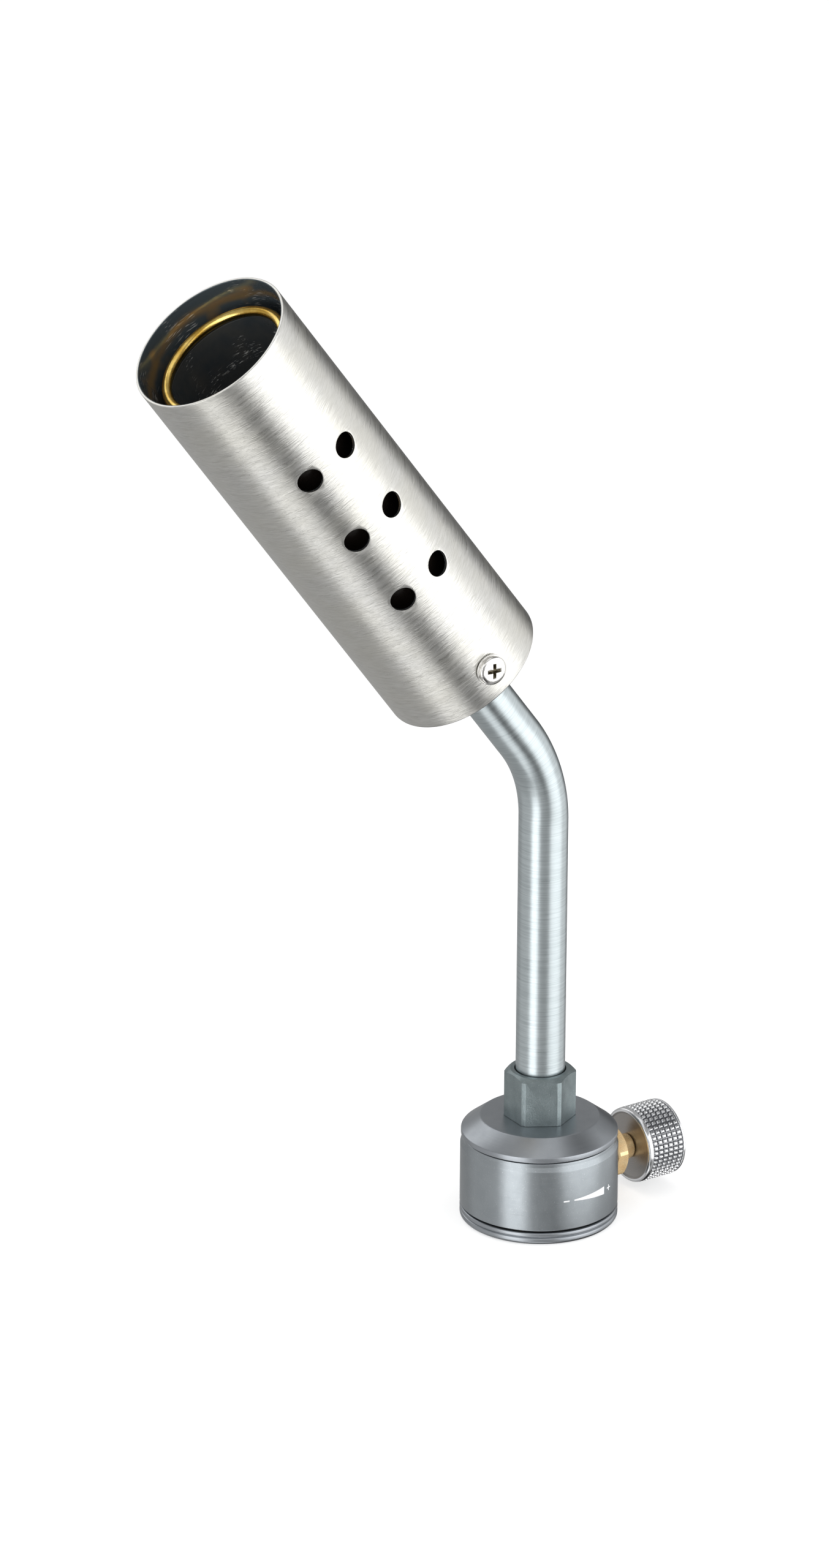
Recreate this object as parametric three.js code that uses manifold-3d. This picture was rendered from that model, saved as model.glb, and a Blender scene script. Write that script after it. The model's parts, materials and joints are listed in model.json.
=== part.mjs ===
import * as THREE from 'three';
import { mergeVertices } from 'three/addons/utils/BufferGeometryUtils.js';
import Module from 'manifold-3d';

// Hand torch that screws onto a gas canister. Millimetres, +Z up.
// The origin is the centre of the ring that sits on the canister's rim.
// The burner leans towards -X, and the flow knob points towards +X.

const wasm = await Module();
wasm.setup();

// ---- driving dimensions ----------------------------------------------------

const seatGap = 0.1; // between pieces stacked along the valve's axis
const looseGap = 0.3; // between pieces inside the turned groups

const body = {
  radius: 16,
  ringTop: 2.5,
  ringRound: 1.1,
  sleeveBottom: 3,
  sleeveTop: 17.4,
  sleeveBore: 12.6,
  sleeveBevel: 0.7,
  capBottom: 17.9,
  capRadius: 15.87,
  capShoulder: 18.9,
  capTop: 21.8,
  capFlatRadius: 12,
  coreRadius: 12.3,
  coreTop: 17.6,
};

const inlet = {
  threadRadius: 5.15, // crest radius of the 7/16 in female thread
  insertRadius: 9.2,
  bottom: 0.5,
  top: 6.9,
  pinRadius: 1.4,
  pinTip: 4.3,
};

const hex = { acrossFlats: 13, cornerRadius: 7.25, bottom: body.capTop + seatGap, top: 32, chamfer: 0.45 };

const riser = {
  radius: 5,
  bore: 3.6,
  bottom: 13.2,
  vertexHeight: 96.8, // where the two straight axes would cross
  bendRadius: 31,
  lean: THREE.MathUtils.degToRad(36.7),
  end: 45,
  socketRadius: 5.3,
};

// along the burner's axis, counted from the point where the riser's axes cross
const tube = {
  radius: 16.5,
  wall: 0.6,
  bottom: 33.3,
  top: 130.3,
  holeRadius: 2.6,
  holeStations: [66, 83.8, 101.6],
  holeHalfAngle: THREE.MathUtils.degToRad(17.45),
  screwStation: 39.6,
};

const plug = { radius: 15.6, bottom: 34.5, top: 44.4, bossRadius: 12.3, bossTop: 50, airHoles: 6 };

const burner = {
  radius: 13.1,
  wall: 0.5,
  bottom: 44.8,
  top: 123.2,
  airRadius: 3,
  airStation: 56,
  ringRadius: 13.1,
  ringWire: 0.875,
  ringStation: 124.45,
  holderBottom: 99,
  holderTop: 101,
};

const valve = {
  height: 9.3,
  clocking: THREE.MathUtils.degToRad(3), // the valve's axis is a little off the riser's plane
  needleTip: 1.6,
  shaftRadius: 1.9,
  neckRadius: 2.6,
  neckEnd: 21.9,
  spindleEnd: 29,
  glandRadius: 3.9,
  nutFace: 16.4,
  nutEnd: 19.3,
  nutAcrossFlats: 9.6,
  nutTurn: THREE.MathUtils.degToRad(-13),
};

const knob = { inner: 22.2, outer: 31.5, radius: 7.9, innerLip: 7.2, outerLip: 7.4, bore: 2.3 };

const screw = {
  headRadius: 2.95, headSide: 0.8, headHeight: 1.4, shankRadius: 1.2, shankLength: 7, washerRadius: 3.2,
  slotLength: 3.5, slotWidth: 0.8, slotHeight: 2.4,
};

// ---- finishes ----------------------------------------------------------------

const finishes = {
  brushedSteel: { color: 0xc2c1bb, roughness: 0.35, metalness: 1 },
  anodisedGrey: { color: 0x77797c, roughness: 0.45, metalness: 0.9 },
  darkAnodised: { color: 0x5f6667, roughness: 0.55, metalness: 0.85 },
  satinAluminium: { color: 0x9aa4ab, roughness: 0.35, metalness: 1 },
  brightAluminium: { color: 0xd3d4d4, roughness: 0.25, metalness: 1 },
  brass: { color: 0xc79a4b, roughness: 0.3, metalness: 1 },
  tintedBrass: { color: 0xa5741d, roughness: 0.3, metalness: 1 },
  scaledSteel: { color: 0x23282b, roughness: 0.3, metalness: 0.9 },
  nickel: { color: 0xd8d6d0, roughness: 0.2, metalness: 1 },
  rubber: { color: 0x17181a, roughness: 0.8, metalness: 0 },
  filterBronze: { color: 0x8c6a44, roughness: 0.8, metalness: 0.8 },
  fluoropolymer: { color: 0xe9e7e0, roughness: 0.6, metalness: 0 },
};

function piece(name, geometry, finish) {
  const mesh = new THREE.Mesh(geometry, new THREE.MeshStandardMaterial(finishes[finish]));
  mesh.name = name;
  return mesh;
}

// ---- shape helpers -------------------------------------------------------------

// a turned shape about Z: [radius, height] points, anticlockwise round the section
function turned(section, segments = 40) {
  const profile = section.map(([radius, height]) => new THREE.Vector2(radius, height));
  if (section[0][0] > 0) profile.push(profile[0].clone());
  return new THREE.LatheGeometry(profile, segments).rotateX(Math.PI / 2);
}

function annulus(inner, outer, bottom, top, segments = 40) {
  return turned([[inner, bottom], [outer, bottom], [outer, top], [inner, top]], segments);
}

function disc(radius, bottom, top, segments = 40) {
  return turned([[0, bottom], [radius, bottom], [radius, top], [0, top]], segments);
}

function rod(radius, length, segments = 24) {
  return new THREE.CylinderGeometry(radius, radius, length, segments).rotateX(Math.PI / 2);
}

function torus(radius, wire, height, segments = 24, sides = 8) {
  return new THREE.TorusGeometry(radius, wire, sides, segments).translate(0, 0, height);
}

function hexPrism(acrossFlats, bottom, top) {
  const outline = new THREE.Shape();
  const corner = acrossFlats / Math.sqrt(3);
  for (let side = 0; side < 6; side++) {
    const angle = (side + 0.5) * Math.PI / 3;
    const x = corner * Math.cos(angle);
    const y = corner * Math.sin(angle);
    if (side === 0) outline.moveTo(x, y);
    else outline.lineTo(x, y);
  }
  outline.closePath();
  const prism = new THREE.ExtrudeGeometry(outline, { depth: top - bottom, bevelEnabled: false });
  return prism.translate(0, 0, bottom);
}

function toSolid(geometry) {
  const bare = geometry.clone();
  bare.deleteAttribute('normal');
  bare.deleteAttribute('uv');
  const merged = mergeVertices(bare, 1e-4);
  return new wasm.Manifold(new wasm.Mesh({
    numProp: 3,
    vertProperties: new Float32Array(merged.attributes.position.array),
    triVerts: new Uint32Array(merged.index.array),
  }));
}

function toGeometry(solid) {
  const mesh = solid.getMesh();
  const geometry = new THREE.BufferGeometry();
  geometry.setAttribute('position', new THREE.BufferAttribute(new Float32Array(mesh.vertProperties), 3));
  geometry.setIndex(new THREE.BufferAttribute(new Uint32Array(mesh.triVerts), 1));
  return geometry;
}

function cut(geometry, ...tools) {
  let solid = toSolid(geometry);
  for (const tool of tools) solid = solid.subtract(toSolid(tool));
  return toGeometry(solid);
}

function join(geometry, ...others) {
  let solid = toSolid(geometry);
  for (const other of others) solid = solid.add(toSolid(other));
  return toGeometry(solid);
}

function overlapOf(geometry, other) {
  return toGeometry(toSolid(geometry).intersect(toSolid(other)));
}

// a round tool lying along a radius: from one radius to another, at an angle and a height
function radialRod(radius, from, to, angle, height, segments = 24) {
  return rod(radius, to - from, segments)
    .rotateY(Math.PI / 2)
    .translate((from + to) / 2, 0, 0)
    .rotateZ(angle)
    .translate(0, 0, height);
}

// ---- valve body ------------------------------------------------------------------

function baseRing() {
  const steps = 3;
  const section = [[9.6, 0]];
  for (let step = 0; step <= steps; step++) {
    const angle = (step / steps - 1) * Math.PI / 2;
    section.push([
      body.radius - body.ringRound * (1 - Math.cos(angle)),
      body.ringRound * (1 + Math.sin(angle)),
    ]);
  }
  section.push([body.radius, body.ringTop]);
  section.push([9.6, body.ringTop]);
  return turned(section, 48);
}

function bodySleeve() {
  const shell = turned([
    [body.sleeveBore, body.sleeveBottom],
    [body.radius - 0.3, body.sleeveBottom],
    [body.radius, body.sleeveBottom + 0.3],
    [body.radius, body.sleeveTop - 2 * body.sleeveBevel],
    [body.radius - 0.3, body.sleeveTop - body.sleeveBevel],
    [body.radius - 0.45, body.sleeveTop],
    [body.sleeveBore, body.sleeveTop],
  ], 48);
  const window = radialRod(valve.glandRadius + 0.3, 10, 20, valve.clocking, valve.height, 32);
  return cut(shell, window);
}

function topCap() {
  return turned([
    [riser.socketRadius, body.capBottom],
    [body.capRadius - 0.2, body.capBottom],
    [body.capRadius, body.capBottom + 0.2],
    [body.capRadius, body.capShoulder],
    [body.capFlatRadius, body.capTop],
    [riser.socketRadius, body.capTop],
  ], 48);
}

// the gas comes up the middle, turns past the needle and leaves up into the riser
function valveBlock() {
  const floor = inlet.top + 0.2;
  const block = disc(body.coreRadius, 2.7, body.coreTop, 36);
  const insertPocket = disc(inlet.insertRadius + 0.2, 0, floor, 32);
  const riserSocket = disc(riser.socketRadius, 12.6, 20, 24);
  const sealRecess = disc(6.7, 16, 20, 24);
  const gasInlet = disc(0.8, 5, valve.height, 12);
  const gasOutlet = disc(0.8, valve.height, 14, 12).translate(4.1, 0, 0).rotateZ(valve.clocking);
  const seatHole = radialRod(0.8, -0.8, 6, valve.clocking, valve.height, 12);
  const spindleBore = radialRod(valve.shaftRadius + 0.1, 3.1, 12, valve.clocking, valve.height);
  const glandBore = radialRod(valve.glandRadius + 0.1, 9.4, 20, valve.clocking, valve.height, 32);
  return cut(
    block, insertPocket, riserSocket, sealRecess, gasInlet, gasOutlet, seatHole, spindleBore, glandBore,
  );
}

function threadInsert() {
  return turned([
    [inlet.threadRadius + 0.7, inlet.bottom],
    [inlet.insertRadius, inlet.bottom],
    [inlet.insertRadius, inlet.top],
    [inlet.threadRadius, inlet.top],
    [inlet.threadRadius, inlet.bottom + 0.7],
  ], 32);
}

// the hollow pin that opens the canister's own valve
function inletPin() {
  return cut(
    turned([
      [0, inlet.pinTip],
      [inlet.pinRadius - 0.3, inlet.pinTip],
      [inlet.pinRadius, inlet.pinTip + 0.3],
      [inlet.pinRadius, 5.7],
      [2.2, 5.7],
      [2.2, 6.3],
      [0, 6.3],
    ], 24),
    disc(0.6, 0, 10, 12),
  );
}

function hexNut() {
  const corner = hex.cornerRadius;
  const chamferRun = corner - hex.acrossFlats / 2;
  const envelope = turned([
    [0, hex.bottom],
    [corner, hex.bottom],
    [corner, hex.top - hex.chamfer - 0.3],
    [corner - chamferRun, hex.top - 0.3],
    [corner - chamferRun - 0.5, hex.top],
    [0, hex.top],
  ], 60);
  const blank = overlapOf(hexPrism(hex.acrossFlats, hex.bottom, hex.top), envelope);
  return cut(blank, disc(riser.socketRadius, 0, 50, 24));
}

// ---- riser -------------------------------------------------------------------------

// straight up, round the bend, then straight along the burner's axis
class RiserRoute extends THREE.Curve {
  constructor(bendSteps) {
    super();
    this.bendSteps = bendSteps;
    this.tangentLength = riser.bendRadius * Math.tan(riser.lean / 2);
  }

  getUtoTmapping(u) {
    return u; // one step for each straight stretch, the rest for the bend
  }

  getPoint(t, target = new THREE.Vector3()) {
    const step = t * (this.bendSteps + 2);
    const bendStart = riser.vertexHeight - this.tangentLength;
    if (step <= 1) {
      return target.set(0, 0, riser.bottom + step * (bendStart - riser.bottom));
    }
    const angle = Math.min((step - 1) / this.bendSteps, 1) * riser.lean;
    const past = Math.max(step - 1 - this.bendSteps, 0) * (riser.end - this.tangentLength);
    return target.set(
      -riser.bendRadius * (1 - Math.cos(angle)) - past * Math.sin(riser.lean),
      0,
      bendStart + riser.bendRadius * Math.sin(angle) + past * Math.cos(riser.lean),
    );
  }
}

function riserTube() {
  const bendSteps = 10;
  const section = new THREE.Shape();
  section.absarc(0, 0, riser.radius, 0, 2 * Math.PI, false);
  const bore = new THREE.Path();
  bore.absarc(0, 0, riser.bore, 0, 2 * Math.PI, true);
  section.holes.push(bore);
  return new THREE.ExtrudeGeometry(section, {
    steps: bendSteps + 2,
    curveSegments: 12,
    bevelEnabled: false,
    extrudePath: new RiserRoute(bendSteps),
  });
}

// ---- burner head, along its own Z ----------------------------------------------------

const sides = [-Math.PI / 2, Math.PI / 2]; // both flanks of the bend's plane

function flameTube() {
  const tools = [];
  for (const side of sides) {
    for (const station of tube.holeStations) {
      for (const row of [-1, 1]) {
        const angle = side + row * tube.holeHalfAngle;
        tools.push(radialRod(tube.holeRadius, tube.radius - 3, tube.radius + 3, angle, station, 16));
      }
    }
    tools.push(radialRod(1.6, tube.radius - 3, tube.radius + 3, side, tube.screwStation, 12));
  }
  return cut(annulus(tube.radius - tube.wall, tube.radius, tube.bottom, tube.top, 56), ...tools);
}

function burnerBase() {
  const blank = turned([
    [riser.radius + looseGap, plug.bottom],
    [plug.radius - 0.5, plug.bottom],
    [plug.radius, plug.bottom + 0.5],
    [plug.radius, plug.top],
    [plug.bossRadius, plug.top],
    [plug.bossRadius, plug.bossTop],
    [10.8, plug.bossTop],
    [10.8, plug.top],
    [riser.radius + looseGap, plug.top],
  ], 40);
  const tools = sides.map((side) => {
    return radialRod(screw.shankRadius + looseGap, 8.6, 20, side, tube.screwStation, 12);
  });
  for (let hole = 0; hole < plug.airHoles; hole++) {
    const angle = hole * 2 * Math.PI / plug.airHoles;
    tools.push(disc(1.6, 30, 50, 10).translate(8.2 * Math.cos(angle), 8.2 * Math.sin(angle), 0));
  }
  return cut(blank, ...tools);
}

function burnerTube() {
  const tools = [];
  for (let hole = 0; hole < 4; hole++) {
    const angle = (hole + 0.5) * Math.PI / 2;
    const [near, far] = [burner.radius - 3, burner.radius + 3];
    tools.push(radialRod(burner.airRadius, near, far, angle, burner.airStation, 16));
  }
  const pipe = annulus(burner.radius - burner.wall, burner.radius, burner.bottom, burner.top, 48);
  return cut(pipe, ...tools);
}

// a hollow cap over the riser's end that holds the jet
function jetHolder() {
  return turned([
    [riser.radius + looseGap, 44.9],
    [7, 44.9],
    [7, 52],
    [5.4, 54],
    [2.2, 54],
    [2.2, 49.6],
    [riser.radius + looseGap, 48.4],
  ], 24);
}

function jetNozzle() {
  return turned([
    [0.35, 49.9],
    [1.9, 49.9],
    [1.9, 54.3],
    [3, 54.3],
    [3, 56.6],
    [1.2, 58.2],
    [0.35, 58.2],
  ], 20);
}

// bell mouth, throat and cone, with four air ports round the jet
function mixerTube() {
  const wall = 0.8;
  const blank = turned([
    [7.4, 55.2],
    [7.4 + wall, 55.2],
    [7.4 + wall, 60.5],
    [5 + wall, 64.5],
    [5 + wall, 76],
    [8 + wall, 92],
    [8 + wall, 98.6],
    [8, 98.6],
    [8, 92],
    [5, 76],
    [5, 64.5],
    [7.4, 60.5],
  ], 28);
  const tools = [];
  for (let port = 0; port < 4; port++) {
    tools.push(radialRod(1.8, 5, 10, port * Math.PI / 2, 58.2, 10));
  }
  return cut(blank, ...tools);
}

function flameHolder() {
  const tools = [disc(2, 90, 110, 12)];
  for (let hole = 0; hole < 6; hole++) {
    const angle = hole * Math.PI / 3;
    tools.push(disc(1.6, 90, 110, 10).translate(6.5 * Math.cos(angle), 6.5 * Math.sin(angle), 0));
  }
  const edge = burner.radius - burner.wall - looseGap;
  return cut(disc(edge, burner.holderBottom, burner.holderTop, 32), ...tools);
}

// pan head with a cross recess, standing on its shank, head up
function panScrew() {
  const steps = 4;
  const section = [[0, -screw.shankLength], [screw.shankRadius, -screw.shankLength], [screw.shankRadius, 0]];
  for (let step = 0; step <= steps; step++) {
    const angle = step / steps * Math.PI / 2;
    section.push([
      screw.headRadius * Math.pow(Math.cos(angle), 0.5),
      screw.headSide + (screw.headHeight - screw.headSide) * Math.sin(angle),
    ]);
  }
  section.splice(3, 0, [screw.headRadius, 0]);
  section[section.length - 1][0] = 0;
  const slots = [-riser.lean, Math.PI / 2 - riser.lean].map((angle) => {
    const slot = new THREE.BoxGeometry(screw.slotLength, screw.slotWidth, screw.slotHeight);
    return slot.rotateZ(angle).translate(0, 0, screw.headHeight + 0.3);
  });
  return cut(turned(section, 20), ...slots);
}

// stands a piece made along Z on the flame tube's side, at a height above its surface
function onTubeSide(mesh, side, lift) {
  const holder = new THREE.Group();
  holder.position.set(
    (tube.radius + lift) * Math.cos(side),
    (tube.radius + lift) * Math.sin(side),
    tube.screwStation,
  );
  holder.rotation.set(side < 0 ? Math.PI / 2 : -Math.PI / 2, 0, 0);
  holder.add(mesh);
  return holder;
}

// ---- flow valve, along its own Z -------------------------------------------------------

function packingNut() {
  const flats = hexPrism(valve.nutAcrossFlats, valve.nutFace, valve.nutEnd).rotateZ(valve.nutTurn);
  const corner = valve.nutAcrossFlats / 2 + 0.55;
  const envelope = turned([
    [0, valve.nutFace],
    [corner - 0.4, valve.nutFace],
    [corner, valve.nutFace + 0.3],
    [corner, valve.nutEnd - 0.6],
    [corner - 0.8, valve.nutEnd],
    [0, valve.nutEnd],
  ], 36);
  const shank = disc(valve.glandRadius, 13, valve.nutFace + 0.5, 24);
  return cut(join(overlapOf(flats, envelope), shank), disc(valve.neckRadius + 0.1, 0, 40, 24));
}

// taper, thread, seal groove, neck and the stub that the knob is fixed on
function needleSpindle() {
  return turned([
    [0, valve.needleTip],
    [0.3, valve.needleTip],
    [0.7, 3.1],
    [1.5, 4.6],
    [valve.shaftRadius, 5.2],
    [valve.shaftRadius, 14.4],
    [1.4, 14.4],
    [1.4, 15.8],
    [valve.neckRadius, 15.8],
    [valve.neckRadius, valve.neckEnd],
    [2, valve.neckEnd],
    [2, valve.spindleEnd],
    [0, valve.spindleEnd],
  ], 24);
}

function knobBody() {
  const blank = turned([
    [0, knob.inner + 0.6],
    [6, knob.inner + 0.6],
    [6.4, knob.inner],
    [knob.innerLip, knob.inner],
    [knob.radius - 0.3, knob.inner + 0.5],
    [knob.radius - 0.3, knob.inner + 1],
    [knob.radius, knob.inner + 1.2],
    [knob.radius, knob.outer - 0.7],
    [knob.outerLip, knob.outer],
    [0, knob.outer],
  ], 40);
  const bore = disc(knob.bore, 10, valve.spindleEnd + 0.3, 20);
  const grubHole = radialRod(1.7, 0, 12, Math.PI / 2, 27, 16);
  return cut(blank, bore, grubHole);
}

function grubScrew() {
  return radialRod(1.4, knob.bore + 0.2, 6.6, Math.PI / 2, 27, 16);
}

// ---- assembly -----------------------------------------------------------------------------

const torch = new THREE.Group();

torch.add(
  piece('base_ring', baseRing(), 'brightAluminium'),
  piece('body_sleeve', bodySleeve(), 'anodisedGrey'),
  piece('top_cap', topCap(), 'anodisedGrey'),
  piece('valve_block', valveBlock(), 'brass'),
  piece('canister_thread_insert', threadInsert(), 'brass'),
  piece('inlet_pin', inletPin(), 'brass'),
  piece('inlet_seal', torus(3.1, 0.7, 5.9), 'rubber'),
  piece('inlet_filter', annulus(0.9, 2.2, 6.4, 7, 24), 'filterBronze'),
  piece('riser_o_ring', torus(5.85, 0.6, 16.8), 'rubber'),
  piece('hex_nut', hexNut(), 'darkAnodised'),
  piece('riser_tube', riserTube(), 'satinAluminium'),
);

const burnerHead = new THREE.Group();
burnerHead.position.set(0, 0, riser.vertexHeight);
burnerHead.rotation.set(0, -riser.lean, 0);
burnerHead.add(
  piece('flame_tube', flameTube(), 'brushedSteel'),
  piece('burner_base', burnerBase(), 'brass'),
  piece('inner_burner_tube', burnerTube(), 'scaledSteel'),
  piece('mouth_ring', torus(burner.ringRadius, burner.ringWire, burner.ringStation, 48, 8), 'tintedBrass'),
  piece('jet_holder', jetHolder(), 'brass'),
  piece('jet_filter', disc(3.2, 46.3, 47.5, 24), 'filterBronze'),
  piece('jet_nozzle', jetNozzle(), 'brass'),
  piece('mixer_tube', mixerTube(), 'nickel'),
  piece('flame_holder', flameHolder(), 'scaledSteel'),
);
sides.forEach((side, index) => {
  const number = index + 1;
  const washer = piece(`screw_washer_${number}`, annulus(1.7, screw.washerRadius, 0, 0.5, 20), 'nickel');
  const fastener = piece(`flame_tube_screw_${number}`, panScrew(), 'nickel');
  burnerHead.add(onTubeSide(washer, side, 0.1), onTubeSide(fastener, side, 0.7));
});
torch.add(burnerHead);

// a ring that fits round the spindle inside the gland
function glandRing(from, to) {
  return annulus(valve.shaftRadius + 0.1, valve.glandRadius - 0.1, from, to, 20);
}

const flowValve = new THREE.Group();
flowValve.rotation.set(0, Math.PI / 2, 0);
flowValve.add(
  piece('gland_packing', glandRing(9.6, 11.9), 'fluoropolymer'),
  piece('gland_washer', glandRing(12.1, 12.8), 'brass'),
  piece('packing_nut', packingNut(), 'brass'),
  piece('spindle_o_ring', torus(2.03, 0.55, 15.1), 'rubber'),
  piece('needle_spindle', needleSpindle(), 'brass'),
  piece('knob', knobBody(), 'brightAluminium'),
  piece('knob_grub_screw', grubScrew(), 'scaledSteel'),
);
const valveHolder = new THREE.Group();
valveHolder.position.set(0, 0, valve.height);
valveHolder.rotation.set(0, 0, valve.clocking);
valveHolder.add(flowValve);
torch.add(valveHolder);

export default torch;
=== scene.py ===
import json
import math
import bmesh
import bpy
from mathutils import Euler, Matrix, Vector


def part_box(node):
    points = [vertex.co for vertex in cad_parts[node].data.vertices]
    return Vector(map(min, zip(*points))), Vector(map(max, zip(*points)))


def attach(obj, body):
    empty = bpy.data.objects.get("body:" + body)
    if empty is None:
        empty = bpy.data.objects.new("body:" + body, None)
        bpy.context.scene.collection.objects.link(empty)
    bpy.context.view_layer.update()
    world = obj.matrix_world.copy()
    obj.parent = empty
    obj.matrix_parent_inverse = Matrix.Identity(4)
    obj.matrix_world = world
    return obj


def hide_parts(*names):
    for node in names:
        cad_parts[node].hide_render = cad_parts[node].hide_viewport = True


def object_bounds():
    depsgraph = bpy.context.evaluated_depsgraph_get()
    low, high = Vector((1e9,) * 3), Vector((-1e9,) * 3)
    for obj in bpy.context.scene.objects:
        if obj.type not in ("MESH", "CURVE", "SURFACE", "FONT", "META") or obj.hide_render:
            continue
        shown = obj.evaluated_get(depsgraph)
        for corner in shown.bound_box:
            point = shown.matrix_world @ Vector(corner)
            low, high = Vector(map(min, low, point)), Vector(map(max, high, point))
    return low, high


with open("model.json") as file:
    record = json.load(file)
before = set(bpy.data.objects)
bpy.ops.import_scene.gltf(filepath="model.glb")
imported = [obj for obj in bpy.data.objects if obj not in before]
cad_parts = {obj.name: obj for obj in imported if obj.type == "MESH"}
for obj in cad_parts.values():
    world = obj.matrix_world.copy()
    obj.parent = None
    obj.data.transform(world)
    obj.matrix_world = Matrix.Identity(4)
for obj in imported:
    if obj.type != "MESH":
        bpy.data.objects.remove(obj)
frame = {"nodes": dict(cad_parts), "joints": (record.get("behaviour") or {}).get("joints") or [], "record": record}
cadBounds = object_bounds()
nodes = frame["nodes"]
mm = 0.001  # piece sizes below are in millimetres, the scene is in metres


def boxCentre(node):
    low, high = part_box(node)
    return (low + high) / 2


def boxSize(node):
    low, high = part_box(node)
    return (high - low) / mm


# places taken from the frame
mouthCentre = boxCentre("mouth_ring")
burnerAxis = (mouthCentre - boxCentre("flame_holder")).normalized()
lean = math.atan2(-burnerAxis.x, burnerAxis.z)
tubeRadius = boxSize("flame_tube").y / 2
tubeLength = (boxSize("flame_tube").z - 2 * tubeRadius * math.sin(lean)) / math.cos(lean)
tubeFoot = boxCentre("flame_tube") - burnerAxis * (tubeLength / 2 * mm)
# the height at which the riser's axis and the burner's meet
axesCross = (mouthCentre - burnerAxis * (mouthCentre.x / burnerAxis.x)).z / mm
# Z runs up the burner from the foot of its tube
burnerPlace = Matrix.Translation(tubeFoot) @ Matrix.Rotation(-lean, 4, "Y")
knobJoint = next(joint for joint in frame["joints"] if joint["name"] == "knob_turn")
valveTurn = math.atan2(knobJoint["axis"][1], knobJoint["axis"][0])
# Z runs out along the knob's axis
valvePlace = (Matrix.Translation((0, 0, knobJoint["pos_m"][2])) @ Matrix.Rotation(valveTurn, 4, "Z")
              @ Matrix.Rotation(math.pi / 2, 4, "Y"))
upright = Matrix.Identity(4)


def station(node):  # where a burner piece's centre lies, in mm from the tube's foot
    return (boxCentre(node) - tubeFoot).dot(burnerAxis) / mm


print("places read from the frame")


# shader building

def binary(operation, reflected=False):  # the method behind one arithmetic sign
    def method(self, other):
        return self.calc(operation, *((other, self) if reflected else (self, other)))
    return method


class Wire:  # a socket that takes part in sums
    def __init__(self, sheet, socket):
        self.sheet = sheet
        self.socket = socket

    def calc(self, operation, *values):
        return self.sheet.node("ShaderNodeMath", {"operation": operation}, dict(enumerate(values)))

    __add__ = binary("ADD")
    __radd__ = binary("ADD", True)
    __sub__ = binary("SUBTRACT")
    __rsub__ = binary("SUBTRACT", True)
    __mul__ = binary("MULTIPLY")
    __rmul__ = binary("MULTIPLY", True)
    __truediv__ = binary("DIVIDE")
    __rtruediv__ = binary("DIVIDE", True)
    __mod__ = binary("FLOORED_MODULO")
    __pow__ = binary("POWER")

    def __floordiv__(self, other):
        return self.calc("FLOOR", self / other)

    def cos(self):
        return self.calc("COSINE", self)

    def sin(self):
        return self.calc("SINE", self)

    def size(self):
        return self.calc("ABSOLUTE", self)

    def below(self, edge, blur):  # 1 under the edge, 0 over it
        return self.sheet.node("ShaderNodeMapRange", {"interpolation_type": "SMOOTHSTEP"}, {
            "Value": self, "From Min": edge - blur, "From Max": edge + blur, "To Min": 1.0, "To Max": 0.0})

    def ramp(self, start, end, high=1.0, low=0.0):  # low up to start, high from end on
        return self.sheet.node("ShaderNodeMapRange", None, {
            "Value": self, "From Min": start, "From Max": end, "To Min": low, "To Max": high})


class Sheet:  # a node tree and the one way nodes are added to it
    def __init__(self, tree):
        self.tree = tree

    def node(self, kind, settings=None, values=None, output=0):
        made = self.tree.nodes.new(kind)
        for key, value in (settings or {}).items():
            setattr(made, key, value)
        for key, value in (values or {}).items():
            for item in value if isinstance(value, list) else [value]:
                self.connect(item, self.pick(made.inputs, key))
        return Wire(self, self.pick(made.outputs, output))

    def pick(self, sockets, key):
        if isinstance(key, int):
            return sockets[key]
        return next(socket for socket in sockets if socket.name == key and socket.enabled)

    def connect(self, value, target):
        if isinstance(value, Wire):
            self.tree.links.new(value.socket, target)
        else:
            target.default_value = value

    def merge(self, x, y, z):
        return self.node("ShaderNodeCombineXYZ", None, {"X": x, "Y": y, "Z": z})

    def split(self, vector):
        return [self.node("ShaderNodeSeparateXYZ", None, {"Vector": vector}, axis) for axis in "XYZ"]


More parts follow.
